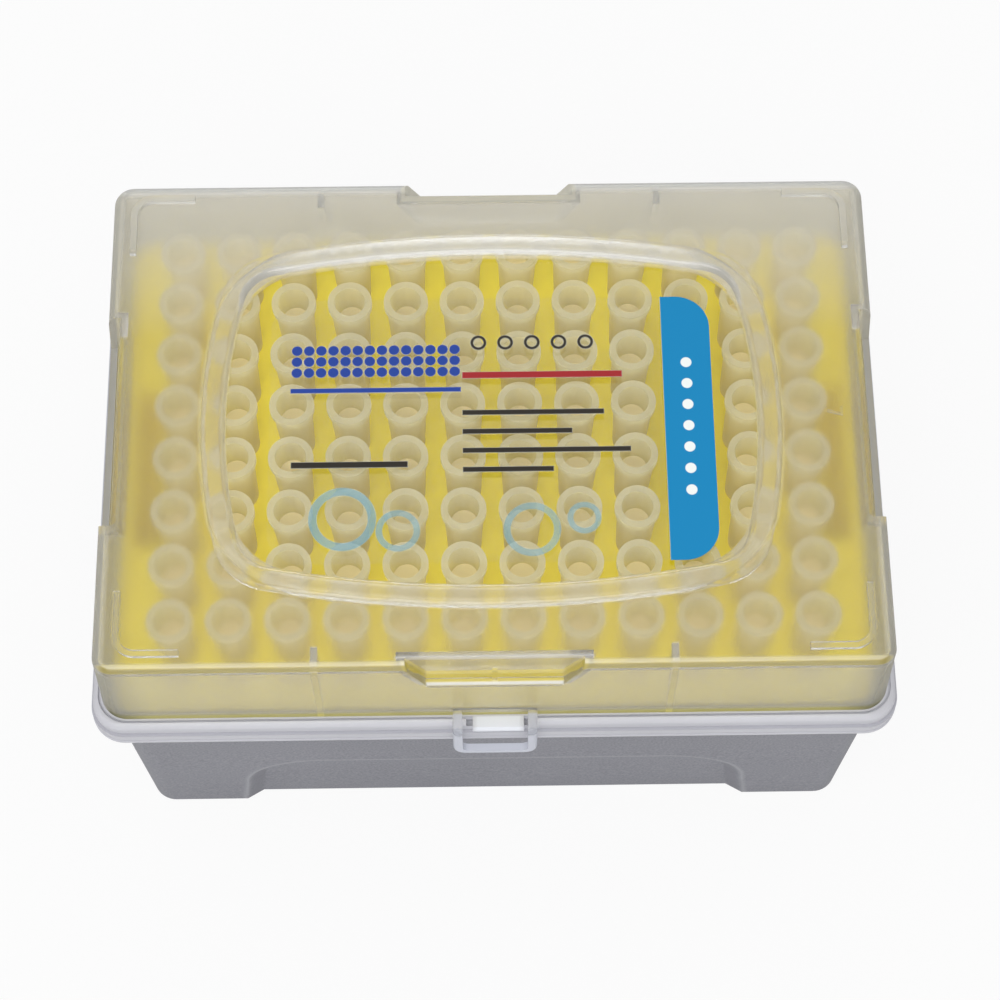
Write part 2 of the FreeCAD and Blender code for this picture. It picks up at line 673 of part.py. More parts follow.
# the drafted front wall stands this far out at the level of the notch floor
WALL_AT_FLOOR = "( lid_half_y - ( notch_floor - rim_top ) * tan(lid_draft) )"
for word, role, side, half_top, half_low, back, outside in RECESSES:
    sign = "" if side > 0 else "0 - "
    flat = sketch(lid, word + "_notch_outline", role, sign + "( %s )" % back)
    trapezoid(flat, half_top, half_low, "notch_floor", "lid_top + 1", FLAT)
    cut = feature(lid, "Pocket", word + "_notch", flat, "%s - %s + 2" % (outside, back), reverse=side > 0)
    if role == "XZ_Plane":
        floor_level = value("notch_floor")
        edge_y = value(WALL_AT_FLOOR) - 0.1
        round_edges(lid, word + "_notch_round", cut, "notch_edge",
                    lambda box: box.ZMax - box.ZMin < 0.01 and abs(box.ZMin - floor_level) < 0.01
                    and box.YMax - box.YMin < 0.01 and -side * box.YMin > edge_y)

# low rib across the middle of the front notch's floor
flat = sketch(lid, "notch_rib_profile", "YZ_Plane")
outline(flat, (
    ("0 - ( front_notch_back - lid_wall / 2 )", "notch_floor - lid_wall / 2"),
    ("0 - ( front_notch_back - lid_wall / 2 )", "notch_floor + notch_rib_high"),
    ("notch_edge - " + WALL_AT_FLOOR, "notch_floor + notch_rib_high"),
    ("0.1 * notch_edge - " + WALL_AT_FLOOR, "notch_floor - notch_edge"),
    ("0.1 * notch_edge - " + WALL_AT_FLOOR, "notch_floor - lid_wall / 2 - notch_edge"),
))
feature(lid, "Pad", "notch_rib_pad", flat, "notch_rib", midplane=True)

# stacking ribs, an L on each corner of the top
OUT_X = "stack_x + stack_wide / 2"
OUT_Y = "stack_y + stack_wide / 2"
IN_X = "stack_x - stack_wide / 2"
IN_Y = "stack_y - stack_wide / 2"
OUT_R = "stack_corner + stack_wide / 2"
IN_R = "stack_corner - stack_wide / 2"
for name, turn_x, turn_y in (("rib_a", 1, 1), ("rib_b", -1, 1), ("rib_c", -1, -1), ("rib_d", 1, -1)):
    hand_x = "" if turn_x > 0 else "0 - "
    hand_y = "" if turn_y > 0 else "0 - "
    turn = turn_x * turn_y
    flat = sketch(lid, name + "_outline", "XY_Plane", "lid_top - 0.2")
    outline(flat, (
        (hand_x + "( %s )" % OUT_X, hand_y + "stack_end_y"),
        (hand_x + "( %s )" % OUT_X, hand_y + "( stack_y - stack_corner )", OUT_R, turn),
        (hand_x + "( stack_x - stack_corner )", hand_y + "( %s )" % OUT_Y),
        (hand_x + "stack_end_x", hand_y + "( %s )" % OUT_Y),
        (hand_x + "stack_end_x", hand_y + "( %s )" % IN_Y),
        (hand_x + "( stack_x - stack_corner )", hand_y + "( %s )" % IN_Y, IN_R, -turn),
        (hand_x + "( %s )" % IN_X, hand_y + "( stack_y - stack_corner )"),
        (hand_x + "( %s )" % IN_X, hand_y + "stack_end_y"),
    ))
    feature(lid, "Pad", name, flat, "stack_high + 0.2")

# raised figure seven, its top towards +X
flat = sketch(lid, "digit_outline", "XY_Plane", "lid_top - 0.2")
outline(flat, (
    ("digit_x + digit_tall / 2", "digit_wide / 2"),
    ("digit_x + digit_tall / 2 - digit_stroke", "digit_wide / 2"),
    ("digit_x + digit_tall / 2 - digit_stroke", "digit_stroke * 1.2 - digit_wide / 2"),
    ("digit_x - digit_tall / 2", "digit_stroke * 0.9"),
    ("digit_x - digit_tall / 2", "0 - digit_stroke * 0.3"),
    ("digit_x + digit_tall / 2", "0 - digit_wide / 2"),
))
feature(lid, "Pad", "digit", flat, "digit_high + 0.2")


def bowed(flat, grow):
    """Window outline: four bowed sides, tangent to round corners, grown outwards."""
    more = value(grow)
    half_x = value("window_half_x")
    half_y = value("window_half_y")
    long_bow = value("window_bow_long")
    short_bow = value("window_bow_short")
    corner = value("window_corner")
    drop = long_bow - half_y
    shift = short_bow - half_x
    # corner centre: long_bow - corner from (0, -drop), short_bow - corner from (-shift, 0)
    near = long_bow - corner
    far = short_bow - corner
    span = (drop * drop + shift * shift) ** 0.5
    along = (near * near - far * far + span * span) / (2.0 * span)
    across = (near * near - along * along) ** 0.5
    step_x = -shift / span
    step_y = drop / span
    middle_x = along * step_x + across * step_y
    middle_y = -drop + along * step_y - across * step_x
    if middle_x < 0 or middle_y < 0:
        middle_x = along * step_x - across * step_y
        middle_y = -drop + along * step_y + across * step_x
    made = []
    centres = (
        (shift * -1.0, 0.0, short_bow + more, "right"),
        (middle_x, middle_y, corner + more, "corner"),
        (0.0, -drop, long_bow + more, "top"),
        (-middle_x, middle_y, corner + more, "corner"),
        (shift, 0.0, short_bow + more, "left"),
        (-middle_x, -middle_y, corner + more, "corner"),
        (0.0, drop, long_bow + more, "bottom"),
        (middle_x, -middle_y, corner + more, "corner"),
    )
    up = Vector(middle_x + shift, middle_y, 0).normalize()
    over = Vector(middle_x, middle_y + drop, 0).normalize()
    right_end = Vector(middle_x, middle_y, 0) + up * (corner + more)
    top_start = Vector(middle_x, middle_y, 0) + over * (corner + more)
    joints = [
        Vector(right_end.x, -right_end.y, 0), right_end, top_start, Vector(-top_start.x, top_start.y, 0),
        Vector(-right_end.x, right_end.y, 0), Vector(-right_end.x, -right_end.y, 0),
        Vector(-top_start.x, -top_start.y, 0), Vector(top_start.x, -top_start.y, 0),
    ]
    for index, (x, y, radius, _) in enumerate(centres):
        ring = Part.Circle(Vector(x, y, 0), Vector(0, 0, 1), radius)
        first = ring.parameter(joints[index])
        last = ring.parameter(joints[(index + 1) % 8])
        made.append(flat.addGeometry(Part.ArcOfCircle(ring, first, last)))
    names = {
        "right": ("0 - ( window_bow_short - window_half_x )", FLAT, "window_bow_short + " + grow),
        "left": ("window_bow_short - window_half_x", FLAT, "window_bow_short + " + grow),
        "top": (FLAT, "0 - ( window_bow_long - window_half_y )", "window_bow_long + " + grow),
        "bottom": (FLAT, "window_bow_long - window_half_y", "window_bow_long + " + grow),
    }
    for index, (_, _, _, side) in enumerate(centres):
        following = made[(index + 1) % 8]
        flat.addConstraint(Sketcher.Constraint("Tangent", made[index], 2, following, 1))
        if side in names:
            hold(flat, "DistanceX", made[index], 3, names[side][0])
            hold(flat, "DistanceY", made[index], 3, names[side][1])
        radius = names[side][2] if side in names else "window_corner + " + grow
        tie = flat.addConstraint(Sketcher.Constraint("Radius", made[index], value(radius)))
        flat.renameConstraint(tie, "radius_%d" % tie)
        flat.setExpression("Constraints.radius_%d" % tie, bound(radius))


# rounded bead round the clear window
flat = sketch(lid, "window_bead_outline", "XY_Plane", "lid_top - 0.2")
bowed(flat, "window_bead / 2")
bowed(flat, "( 0 - window_bead / 2 )")
bead = feature(lid, "Pad", "window_bead_band", flat, "window_bead_high + 0.2")
bead_level = value("lid_top + window_bead_high")
reach = value("window_half_x + window_bead")
round_edges(lid, "window_bead_round", bead, "window_bead_high * 0.97",
            lambda box: box.ZMin > bead_level - 0.01 and box.XMax < reach and box.XMin > -reach
            and abs(box.YMax) < reach * 0.8 and abs(box.YMin) < reach * 0.8)

# gussets that stiffen the front and rear walls from inside
for side, word in ((1, "rear"), (-1, "front")):
    sign = "" if side > 0 else "0 - "
    for hand, mark in ((1, "right"), (-1, "left")):
        place = ("" if hand > 0 else "0 - ") + "gusset_x"
        flat = sketch(lid, "%s_%s_gusset_profile" % (word, mark), "YZ_Plane", place)
        outline(flat, (
            (sign + "gusset_reach", "lid_top - lid_wall / 2"),
            (sign + "( lid_half_y - lid_wall - 0.3 )", "gusset_low"),
            (sign + "( lid_half_y - lid_wall / 2 - 0.1 )", "gusset_low"),
            (sign + "( lid_half_y - lid_wall - 1 )", "lid_top - lid_wall / 2"),
        ))
        feature(lid, "Pad", "%s_%s_gusset" % (word, mark), flat, "gusset_thick", midplane=True)

# latch: a loop that goes out over the rim and down round the catch
flat = sketch(lid, "latch_profile", "YZ_Plane")
outline(flat, (
    ("0 - ( lid_half_y - lid_wall )", "latch_root_under"),
    ("0 - ( latch_outer - latch_thick )", "latch_root_under"),
    ("0 - ( latch_outer - latch_thick )", "latch_bottom"),
    ("0 - latch_outer", "latch_bottom"),
    ("0 - latch_outer", "latch_root_top - latch_round", "latch_round", -1),
    ("0 - ( latch_outer - latch_round )", "latch_root_top"),
    ("0 - ( lid_half_y - lid_wall )", "latch_root_top"),
))
latch = feature(lid, "Pad", "latch", flat, "latch_width", midplane=True)
toe = value("latch_bottom")
half_latch = value("latch_width") / 2
latch_toe = round_edges(lid, "latch_toe_round", latch, "latch_corner",
                        lambda box: box.ZMax < toe + 0.01 and abs(abs(box.XMin) - half_latch) < 0.01
                        and box.XMax - box.XMin < 0.01)
outer_face = -value("latch_outer")
round_edges(lid, "latch_edge_round", latch_toe, "latch_edge",
            lambda box: box.YMax < outer_face + 0.01 and box.XMax - box.XMin < half_latch)

flat = sketch(lid, "latch_slot_outline", "XZ_Plane", "lid_half_y + 0.05")
SLOT_LOW = "latch_bottom + latch_bar"
SLOT_IN = "latch_slot / 2 - latch_inner_corner"
outline(flat, (
    ("0 - ( %s )" % SLOT_IN, SLOT_LOW),
    (SLOT_IN, SLOT_LOW, "latch_inner_corner", 1),
    ("latch_slot / 2", SLOT_LOW + " + latch_inner_corner"),
    ("latch_slot / 2", "latch_root_top + 1"),
    ("0 - latch_slot / 2", "latch_root_top + 1"),
    ("0 - latch_slot / 2", SLOT_LOW + " + latch_inner_corner", "latch_inner_corner", 1),
))
feature(lid, "Pocket", "latch_slot_cut", flat, "latch_outer", reverse=True)

# hinge lugs with their stub pins
for hand, mark in ((1, "right"), (-1, "left")):
    place = ("" if hand > 0 else "0 - ") + "hinge_x"
    flat = sketch(lid, mark + "_lug_profile", "YZ_Plane", place)
    outline(flat, (
        ("lid_half_y - lid_wall / 2", "hinge_height + lug_radius"),
        ("lid_half_y - lid_wall / 2", "hinge_height - lug_radius"),
        ("hinge_y", "hinge_height - lug_radius", "lug_radius", 1),
        ("hinge_y + lug_radius", "hinge_height", "lug_radius", 1),
        ("hinge_y", "hinge_height + lug_radius"),
    ))
    feature(lid, "Pad", mark + "_lug", flat, "lug_width", midplane=True)
    flat = sketch(lid, mark + "_pin_outline", "YZ_Plane", place)
    circle(flat, "hinge_y", "hinge_height", "pin_radius")
    feature(lid, "Pad", mark + "_pin", flat, "lug_width + 2 * ( ear_gap + ear_width ) - 0.2",
            midplane=True)

# ---------------------------------------------------------------- the label
label = piece("label_film")
flat = sketch(label, "label_outline", "XY_Plane", "lid_top")
rounded(flat, "label_half_x", "label_half_y", "label_corner", middle_y="label_y")
feature(label, "Pad", "film", flat, "label_thick")

# ---------------------------------------------------------------- write the files
doc.recompute()
for item in doc.Objects:
    if "Invalid" in item.State or "Error" in item.State:
        raise RuntimeError("%s: %s" % (item.Name, item.State))
os.makedirs("parts", exist_ok=True)
for body in [item for item in doc.Objects if item.TypeId == "PartDesign::Body"]:
    shape = body.Shape
    if shape.isNull() or not shape.isValid():
        raise RuntimeError(body.Label + " has no valid shape")
    shape.exportStep("parts/%s.step" % body.Label)
    box = shape.BoundBox
    print("%-20s solids %d volume %9.1f" % (body.Label, len(shape.Solids), shape.Volume),
          "x %.2f %.2f y %.2f %.2f z %.2f %.2f" % (
              box.XMin, box.XMax, box.YMin, box.YMax, box.ZMin, box.ZMax))
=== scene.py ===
# %% [markdown]
# # A box of pipette tips
#
# The box has a grey base, a yellow rack that stands in it, ninety-six filter tips in the
# rack, and a hinged lid moulded from frosted polypropylene with a clear window in its top.
# Every moulded shape comes from the CAD frame. This lesson gives each moulding the plastic
# it is made of, lays out the print on the label, and sets the stage, lamps and camera.

# %% Load the frame
import math

import bpy
import numpy as np
from mathutils import Matrix, Vector

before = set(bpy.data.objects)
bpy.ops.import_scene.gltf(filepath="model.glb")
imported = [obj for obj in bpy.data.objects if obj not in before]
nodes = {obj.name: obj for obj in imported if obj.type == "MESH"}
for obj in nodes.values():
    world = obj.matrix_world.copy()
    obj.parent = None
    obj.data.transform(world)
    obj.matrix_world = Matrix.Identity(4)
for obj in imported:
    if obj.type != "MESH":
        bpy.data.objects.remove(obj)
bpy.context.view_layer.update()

print("pieces in the frame:", len(nodes))

# %% [markdown]
# ## Writing shader maths as plain expressions
#
# Most of the finishes below depend on where a point lies on its moulding: the clear window,
# the print, the milky foot of a wall. Such masks are arithmetic. The small class here wraps
# one output socket, so that `1 - mask` or `x * x + y * y` adds the Math nodes for us.


# %% A socket that does arithmetic
class Wire:
    """One output socket of a material; operators add Math nodes."""

    def __init__(self, tree, socket):
        self.tree = tree
        self.socket = socket

    def _math(self, operation, first, second=None):
        maker = self.tree.nodes.new("ShaderNodeMath")
        maker.operation = operation
        for slot, item in enumerate((first, second)):
            if isinstance(item, Wire):
                self.tree.links.new(item.socket, maker.inputs[slot])
            elif item is not None:
                maker.inputs[slot].default_value = float(item)
        return Wire(self.tree, maker.outputs[0])

    def __add__(self, other):
        return self._math("ADD", self, other)

    def __radd__(self, other):
        return self._math("ADD", other, self)

    def __sub__(self, other):
        return self._math("SUBTRACT", self, other)

    def __rsub__(self, other):
        return self._math("SUBTRACT", other, self)

    def __mul__(self, other):
        return self._math("MULTIPLY", self, other)

    def __rmul__(self, other):
        return self._math("MULTIPLY", other, self)

    def __truediv__(self, other):
        return self._math("DIVIDE", self, other)

    def __rtruediv__(self, other):
        return self._math("DIVIDE", other, self)

    def __abs__(self):
        return self._math("ABSOLUTE", self)

    def over(self, other):
        """The larger of the two."""
        return self._math("MAXIMUM", self, other)

    def under(self, other):
        """The smaller of the two."""
        return self._math("MINIMUM", self, other)

    def root(self):
        return self._math("SQRT", self)

    def clip(self):
        """Held between 0 and 1."""
        return self.over(0.0).under(1.0)

    def remainder(self, step):
        """What is left over after whole steps, always positive."""
        return self._math("FLOORED_MODULO", self, step)


print("sockets can do arithmetic")

# %% [markdown]
# ## One class for a finish
#
# A finish is a material with its Principled shader. It offers a point's place on the
# moulding in millimetres, one method, `node`, that adds any other kind of node, and a few
# short names for the nodes that are used most.


# %% A finish
class Finish:
    """A material, its Principled shader and the wires that feed it."""

    def __init__(self, name):
        self.material = bpy.data.materials.new(name)
        self.material.use_nodes = True
        self.tree = self.material.node_tree
        self.tree.nodes.clear()
        self.output = self.tree.nodes.new("ShaderNodeOutputMaterial")
        self.shader = self.tree.nodes.new("ShaderNodeBsdfPrincipled")
        self.surface(self.plain())
        self.place = self.node("ShaderNodeTexCoord", output="Object")
        split = self.node("ShaderNodeSeparateXYZ", None, {0: self.place}).socket.node
        # millimetres are easier to read than metres
        self.x, self.y, self.z = [Wire(self.tree, way) * 1000.0 for way in split.outputs]

    def node(self, kind, settings=None, sockets=None, output=0):
        """Any node: its settings first, then a value or a wire for each named socket."""
        maker = self.tree.nodes.new(kind)
        for key, item in (settings or {}).items():
            setattr(maker, key, item)
        self.plug(maker, sockets or {})
        return Wire(self.tree, maker.outputs[output])

    def plug(self, maker, sockets):
        """Links a wire, or sets a value, on each named socket of a node."""
        for key, item in sockets.items():
            if isinstance(item, Wire):
                self.tree.links.new(item.socket, maker.inputs[key])
            else:
                maker.inputs[key].default_value = item

    def mix(self, mask, plain, other):
        """Colour that goes from plain to other as the mask goes from 0 to 1."""
        return self.node("ShaderNodeMix", {"data_type": "RGBA"}, {0: mask, 6: plain, 7: other}, 2)

    def cloud(self, scale, detail):
        """Soft noise from 0 to 1; scale is in features per metre, detail is finer layers."""
        return self.node("ShaderNodeTexNoise", None, {
            "Vector": self.place, "Scale": scale, "Detail": detail, "Roughness": 0.55})

    def bump(self, height, distance, strength=1.0):
        """Bump from a height, with the distance in metres."""
        return self.node("ShaderNodeBump", None, {
            "Height": height, "Distance": distance, "Strength": strength})

    def blend(self, mask, first, second):
        """Mix Shader: first where the mask is 0, second where it is 1."""
        return self.node("ShaderNodeMixShader", None, {0: mask, 1: first, 2: second})

    def see_through(self, colour):
        """Transparent shader: passes light straight on and tints it."""
        return self.node("ShaderNodeBsdfTransparent", None, {"Color": colour})

    def ray(self, kind):
        """1 for one kind of ray, such as Is Shadow Ray, and 0 for the others."""
        return self.node("ShaderNodeLightPath", output=kind)

    def surface(self, wire):
        """Makes a shader the one the object shows."""
        self.tree.links.new(wire.socket, self.output.inputs["Surface"])

    def plain(self):
        """The Principled shader as a wire."""
        return Wire(self.tree, self.shader.outputs[0])

    def feed(self, **sockets):
        """Wires or values for the Principled shader; _ stands for a space."""
        self.plug(self.shader, {key.replace("_", " "): item for key, item in sockets.items()})


def linear(red, green, blue):
    """Screen colour from 0 to 255 as the linear colour that shaders use."""
    return tuple(((c / 255.0 + 0.055) / 1.055) ** 2.4 for c in (red, green, blue)) + (1.0,)


def dress(piece, finish):
    """Puts a finish in every material slot of a CAD piece."""
    for slot in piece.material_slots:
        slot.material = finish.material
    if not piece.material_slots:
        piece.data.materials.append(finish.material)


PURE_WHITE = (1.0, 1.0, 1.0, 1.0)
print("a finish can be made")

# %% [markdown]
# ## Masks and distances
#
# Three masks do most of the work: past an edge, short of an edge, and a line along one
# value. Each has a steepness, which is how much the mask changes in one millimetre. Two
# distances help with round shapes.


# %% Masks and distances
def past(value, edge, steepness):
    """0 up to the edge, then rising to 1."""
    return ((value - edge) * steepness).clip()


def short_of(value, edge, steepness):
    """0 from the edge on, and rising to 1 before it."""
    return ((edge - value) * steepness).clip()


def line_at(value, middle, steepness):
    """1 at the middle, falling to 0 on both sides of it."""
    return (1.0 - abs(value - middle) * steepness).clip()


def length(across, along):
    """Length of the straight line that goes so far across and so far along."""
    return (across * across + along * along).root()


def past_corner(across, along):
    """Distance from a square corner; inside it each negative part counts as nothing."""
    return length(across.over(0.0), along.over(0.0))


print("masks and distances ready")

# %% [markdown]
# ## The grey base
#
# The base is a deep box of filled polypropylene with a fine spark-eroded texture, so light
# spreads on it without a sharp shine. The rim is smoother and thinner and looks paler. A
# noise of about a third of a millimetre gives the texture, both as bump and as specks, and
# a second, slow noise keeps the grey from being perfectly even.
#
# Small marks of painted light and shade are drawn by height or by distance: a line of painted
# shade on each step of the rim and a line of painted light on its lip, a painted highlight on
# the catch, a painted highlight along the edge of the arch, and painted shade on the sloping
# face inside that edge. All heights and distances are in millimetres.

# %% Grey moulding
RIM_FOOT, RIM_LIP, LOWER_STEP, UPPER_STEP = 46.2, 46.55, 47.35, 49.3
CATCH_X, CATCH_HALF, CATCH_Y, CATCH_FOOT = 0.5, 4.2, -42.7, 50.7
# the arch has leaning sides, and a round corner about a centre between side and top
ARCH_X, ARCH_Z, ARCH_RADIUS, ARCH_LEAN = 28.2, 10.8, 14.0, 0.139
ARCH_WALL = 36.0

grey = Finish("grey_moulding")
grain = grey.cloud(2600.0, 2.0)
drift = grey.cloud(38.0, 1.0)
rim_band = past(grey.z, RIM_FOOT, 2.0)
speckle = (drift * 0.4 + (grain - 0.5) * 2.4 + 0.30).clip()
wall_grey = grey.mix(speckle, linear(115, 116, 123), linear(143, 143, 150))
rim_grey = grey.mix(drift, linear(188, 188, 194), linear(197, 197, 203))

# painted shade on the steps of the rim, painted light on its lip, and a painted highlight that
# makes the catch the whitest spot
rim_step_painted_shade = line_at(grey.z, UPPER_STEP, 2.4) + line_at(grey.z, LOWER_STEP, 4.0) * 0.7
rim_lip_painted_light = line_at(grey.z, RIM_LIP, 3.0)
catch_painted_highlight = (CATCH_HALF - abs(grey.x - CATCH_X)).clip() * short_of(grey.y, CATCH_Y, 4.0)
catch_painted_highlight = catch_painted_highlight * past(grey.z, CATCH_FOOT, 4.0)
# painted shade: a darker line on each step of the rim
rim_grey = grey.mix(rim_step_painted_shade * 0.6, rim_grey, linear(156, 156, 165))
# painted light: a lighter line on the lip of the rim
rim_grey = grey.mix(rim_lip_painted_light * 0.7, rim_grey, linear(222, 222, 228))
# painted highlight: the catch turns almost white
rim_grey = grey.mix(catch_painted_highlight, rim_grey, linear(222, 225, 232))

# the arch, as a distance from its outline
from_side = abs(grey.x) - (ARCH_Z - grey.z).over(0.0) * ARCH_LEAN - ARCH_X
arch_edge = past_corner(from_side, grey.z - ARCH_Z) - ARCH_RADIUS
front_or_rear = past(abs(grey.y), ARCH_WALL, 2.0) * (1.0 - rim_band)
# painted highlight along the edge of the arch, and painted shade on the sloping face inside it
arch_edge_painted_highlight = line_at(arch_edge, 0.1, 1.4) * front_or_rear
arch_painted_shade = short_of(arch_edge, -0.4, 1.5) * past(arch_edge, -3.2, 1.5) * front_or_rear
# the painted highlight and the painted shade of the arch go into the wall's grey
wall_grey = grey.mix(arch_edge_painted_highlight * 0.4, wall_grey, linear(176, 176, 182))
wall_grey = grey.mix(arch_painted_shade * 0.45, wall_grey, linear(112, 112, 120))

grey.feed(
    Base_Color=grey.mix(rim_band, wall_grey, rim_grey),
    Roughness=0.52 - rim_band * 0.12 + (grain - 0.5) * 0.10,
    Specular_IOR_Level=0.42,
    Normal=grey.bump(grain, 0.00006, 0.35),
)
dress(nodes["base"], grey)
print("base finished")

# %% [markdown]
# ## The yellow rack
#
# The rack is a glossy yellow moulding. Its deck is smooth, so it takes a soft highlight, and
# its colour is deep because light goes a little way in before it comes out. A trace of
# Emission stands for the light that comes out again.

# %% Yellow moulding
yellow = Finish("yellow_moulding")
drift = yellow.cloud(60.0, 0.0)
grain = yellow.cloud(2600.0, 0.0)
yellow.feed(
    Base_Color=yellow.mix(drift, linear(230, 216, 34), linear(221, 206, 28)),
    Roughness=0.34 + (drift - 0.5) * 0.10,
    Specular_IOR_Level=0.45,
    Emission_Color=linear(245, 220, 0),
    Emission_Strength=0.085,
    Normal=yellow.bump(grain, 0.00003, 0.25),
)
dress(nodes["rack"], yellow)
print("rack finished")

# %% [markdown]
# ## The tips
#
# A tip is natural polypropylene. A share of Alpha lets what is behind show through, and the
# rest is a milky, softly shining white. Lower down its colour is painted darker and more
# yellow: painted shade, and painted light from the yellow deck. Light soaks through such thin
# walls and lifts the shaded side of every tip; a painted glow from Emission does that here,
# and it too turns more yellow lower down, where the light has met the rack. Shadow rays pass
# a tip with a small loss, so the deck under the tips is lit.

# %% Natural polypropylene
COLUMNS = range(1, 13)
HUB_TOP, SOAKED_SHARE = 65.9, 0.30

natural = Finish("natural_polypropylene")
drift = natural.cloud(90.0, 0.0)
painted_depth_tint = short_of(natural.z, HUB_TOP, 0.12)
natural.feed(
    # painted shade and painted yellow light from the rack: darker and more yellow lower down
    Base_Color=natural.mix(painted_depth_tint, linear(192, 190, 170), linear(170, 161, 110)),
    Roughness=0.34 + (drift - 0.5) * 0.12,
    Alpha=0.46 + (drift - 0.5) * 0.08,
    Specular_IOR_Level=0.3,
    # painted glow: Emission, more yellow lower down
    Emission_Color=natural.mix(painted_depth_tint, linear(230, 228, 204), linear(252, 234, 150)),
    Emission_Strength=0.25,
)
soaked = natural.node("ShaderNodeBsdfTranslucent", None, {"Color": linear(236, 224, 160)})
milky = natural.blend(SOAKED_SHARE, natural.plain(), soaked)
lit_through = natural.see_through((0.985, 0.975, 0.90, 1.0))
natural.surface(natural.blend(natural.ray("Is Shadow Ray"), milky, lit_through))
for column in COLUMNS:
    dress(nodes["tips_column_%02d" % column], natural)
print("tips finished in", len(COLUMNS), "columns")

# %% [markdown]
# ## The filters
#
# The filter is a plug of porous plastic, rough and matt. A painted glow from Emission stands
# for the light that reaches it from all round.

# %% Porous plastic
porous = Finish("porous_filter")
pores = porous.cloud(9000.0, 1.0)
porous.feed(
    Base_Color=porous.mix(pores, linear(176, 162, 108), linear(196, 184, 142)),
    Roughness=0.85 + (pores - 0.5) * 0.1,
    # painted glow: Emission lifts the shaded parts of the filter
    Emission_Color=linear(255, 236, 172),
    Emission_Strength=0.18,
    Normal=porous.bump(pores, 0.00012, 0.8),
)
for column in COLUMNS:
    dress(nodes["filters_column_%02d" % column], porous)
print("filters finished in", len(COLUMNS), "columns")

# %% [markdown]
# ## The lid: frosted walls and a clear window
#
# One moulding carries two finishes. The window inside the bead was polished in the mould
# and is clear; the rest is etched and scatters the light, which is rough refraction here.
# The boundary is the bowed outline of the bead, written as a distance: how far a point lies
# outside four wide circles, with the corners rounded.
#
# The bead is a raised band round the window. Its crown is a height in millimetres that
# feeds the bump, so the band shades like a rounded one, and a coat gives it a sharp light.

# %% Frosted polypropylene
LID_TOP = 71.0
WINDOW_X, WINDOW_Y = 43.25, 29.9
LONG_BOW, SHORT_BOW, WINDOW_CORNER = 187.0, 87.0, 8.0
BEAD_HALF, CROWN_RADIUS = 1.9, 2.3
HAZE_AND_SHEEN_FROM_Y = 14.0


def outside_window(finish, grow):
    """Signed distance in mm from the window outline, grown outwards by grow.

    Each bowed side is part of a wide circle about a centre on the far side of the middle.
    The corner is rounded: beyond both inset sides the distance is the hypotenuse of the two.
    """
    x, y = abs(finish.x), abs(finish.y)
    over_long = length(x, y + (LONG_BOW - WINDOW_Y)) - LONG_BOW + WINDOW_CORNER
    over_short = length(x + (SHORT_BOW - WINDOW_X), y) - SHORT_BOW + WINDOW_CORNER
    inside = over_long.over(over_short).under(0.0)
    return past_corner(over_long, over_short) + inside - WINDOW_CORNER - grow


frosted = Finish("frosted_polypropylene")
edge = outside_window(frosted, -BEAD_HALF)
top_face = past(frosted.z, LID_TOP - 1.7, 4.0)
clear = short_of(edge, 0.15, 3.0) * top_face

# the bead's crown, in mm: a wide arc over its middle line
from_crest = abs(edge - BEAD_HALF)
bead = short_of(from_crest, BEAD_HALF + 0.05, 3.0) * top_face
on_bead = from_crest.under(BEAD_HALF)
crown = on_bead * on_bead * (-1.0 / (2.0 * CROWN_RADIUS))

etch = frosted.cloud(5200.0, 0.0)
streak = frosted.cloud(26.0, 0.0)
# the back of the lid, where a grey painted sheen and extra milk go, and the roughness rises a
# little
rear_haze_and_painted_sheen = past(frosted.y, HAZE_AND_SHEEN_FROM_Y, 0.055)
frosted.feed(
    Base_Color=frosted.mix(clear, linear(241, 239, 234), linear(250, 250, 248)),
    Roughness=(0.208 + rear_haze_and_painted_sheen * 0.018 + (streak - 0.5) * 0.015) * (1.0 - clear) + 0.03,
    Transmission_Weight=1.0,
    IOR=1.49,
    Coat_Weight=bead * 0.9 + 0.1,
    Coat_Roughness=0.06,
    Normal=frosted.bump(etch * 0.02 + crown, 0.001),
)
print("refraction ready")

# %% [markdown]
# ## Where the lid turns milky
#
# Plastic that is clear when it is flat and thin turns milky where it is thick, folded or
# seen along its length. The masks below mark such places, and also places where light and
# shade are painted into the milk: painted shade on the sides, in the front corners, along the
# foot of the wall and on the top front edge, a painted highlight on the front edge, and a
# painted sheen at the back. First come the walls with their feet and corners, and the edges
# of the top.

# %% Milky walls and edges
FRONT_EDGE, REAR_EDGE, LATCH_Y = -39.7, 39.3, -42.9
WALL_FOOT, LOW_WALL, FRONT_FOOT_Y = 54.2, 57.0, -41.0
FLANK_X, CORNER_X, CORNER_Y = 58.3, 53.0, -36.0

far_x, far_y = abs(frosted.x), abs(frosted.y)
latch = short_of(frosted.y, LATCH_Y, 4.0)
wall = short_of(frosted.z, LID_TOP - 1.4, 1.2)
low_wall = short_of(frosted.z, LOW_WALL, 0.2)
# painted shade: a dark yellow line along the foot of the front wall
wall_foot_painted_shade = short_of(frosted.z, WALL_FOOT, 0.8) * short_of(frosted.y, FRONT_FOOT_Y, 2.0)
# the sides of the lid: milky seen edge-on, and painted shade
flank_milk_and_painted_shade = past(far_x, FLANK_X, 1.0)
# painted shade in the front corners of the wall
front_corner_painted_shade = past(far_x, CORNER_X, 0.16) * short_of(frosted.y, CORNER_Y, 0.3) * wall
rear = past(frosted.y, REAR_EDGE, 1.5)
# painted shade: a dark yellow band on the rounded top front edge
top_edge_painted_shade = short_of(frosted.y, FRONT_EDGE, 2.5) * past(frosted.z, LID_TOP - 1.0, 3.0)
